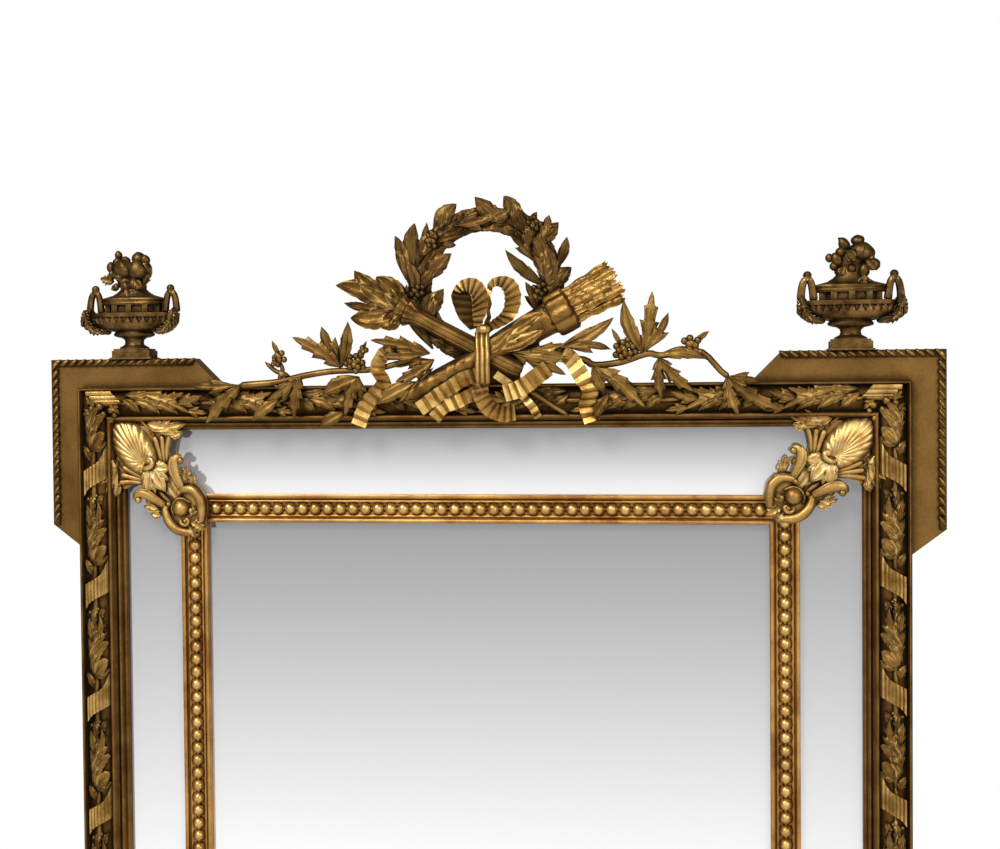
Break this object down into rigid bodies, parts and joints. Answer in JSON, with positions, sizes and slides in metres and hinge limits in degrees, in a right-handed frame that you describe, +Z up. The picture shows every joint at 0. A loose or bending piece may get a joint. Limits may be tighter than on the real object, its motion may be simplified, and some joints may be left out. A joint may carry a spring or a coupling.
{
  "type": "trumeau mirror",
  "caption": "Tall wall mirror with a mirrored margin, pearled slips, ribbon-and-leaf gilt rails, eared corners with urns and a carved wreath crest.",
  "frame": {"origin": "centre of the flat back, on the middle rail, half-way up the gilt frame", "axes": "+X to the right seen from the front, +Y backwards into the wall, +Z up; the mirror faces -Y"},
  "size_m": [1.35, 0.09, 2.0685],
  "materials": {
    "gilt_wood": "carved wood and gesso, water gilt, rubbed on the high parts and dark in the hollows",
    "silvered_glass": "flat silvered plate glass",
    "pine": "planed old pine, unfinished, darkened with age",
    "brass": "rolled brass strap and wire, dull",
    "steel": "plain steel screws"
  },
  "bodies": {
    "frame": {"backboard_lower": "pine", "backboard_upper": "pine", "bottom_rail": "pine", "cartouche_bottom_left": "gilt_wood", "cartouche_bottom_right": "gilt_wood", "cartouche_top_left": "gilt_wood", "cartouche_top_right": "gilt_wood", "crest_batten": "pine", "crest_binding": "gilt_wood", "crest_bow": "gilt_wood", "crest_quiver": "gilt_wood", "crest_ribbons": "gilt_wood", "crest_spray_left": "gilt_wood", "crest_spray_right": "gilt_wood", "crest_torch": "gilt_wood", "crest_wreath": "gilt_wood", "ear_left": "gilt_wood", "ear_right": "gilt_wood", "garland_bottom": "gilt_wood", "garland_left": "gilt_wood", "garland_right": "gilt_wood", "garland_top": "gilt_wood", "hanger_left": "brass", "hanger_right": "brass", "hanger_screws": "steel", "loose_tenons": "pine", "middle_rail": "pine", "moulding_bottom": "gilt_wood", "moulding_left": "gilt_wood", "moulding_right": "gilt_wood", "moulding_top": "gilt_wood", "pearls_bottom": "gilt_wood", "pearls_left": "gilt_wood", "pearls_right": "gilt_wood", "pearls_top": "gilt_wood", "plate_bottom": "silvered_glass", "plate_centre": "silvered_glass", "plate_left": "silvered_glass", "plate_right": "silvered_glass", "plate_top": "silvered_glass", "rope_left": "gilt_wood", "rope_right": "gilt_wood", "shell_bottom_left": "gilt_wood", "shell_bottom_right": "gilt_wood", "shell_top_left": "gilt_wood", "shell_top_right": "gilt_wood", "slip_bottom": "gilt_wood", "slip_left": "gilt_wood", "slip_right": "gilt_wood", "slip_top": "gilt_wood", "stile_left": "pine", "stile_right": "pine", "top_rail": "pine", "urn_bouquet_left": "gilt_wood", "urn_bouquet_right": "gilt_wood", "urn_left": "gilt_wood", "urn_pegs": "pine", "urn_right": "gilt_wood"},
    "left_ring": {"ring_left": "brass"},
    "right_ring": {"ring_right": "brass"}
  },
  "joints": [
    {"name": "ring_left_hinge", "type": "hinge", "parent": "frame", "child": "left_ring", "pos_m": [-0.589, -0.0037, 0.48], "axis": [1, 0, 0], "range_deg": [0, 180]},
    {"name": "ring_right_hinge", "type": "hinge", "parent": "frame", "child": "right_ring", "pos_m": [0.589, -0.0037, 0.48], "axis": [1, 0, 0], "range_deg": [0, 180]}
  ]
}
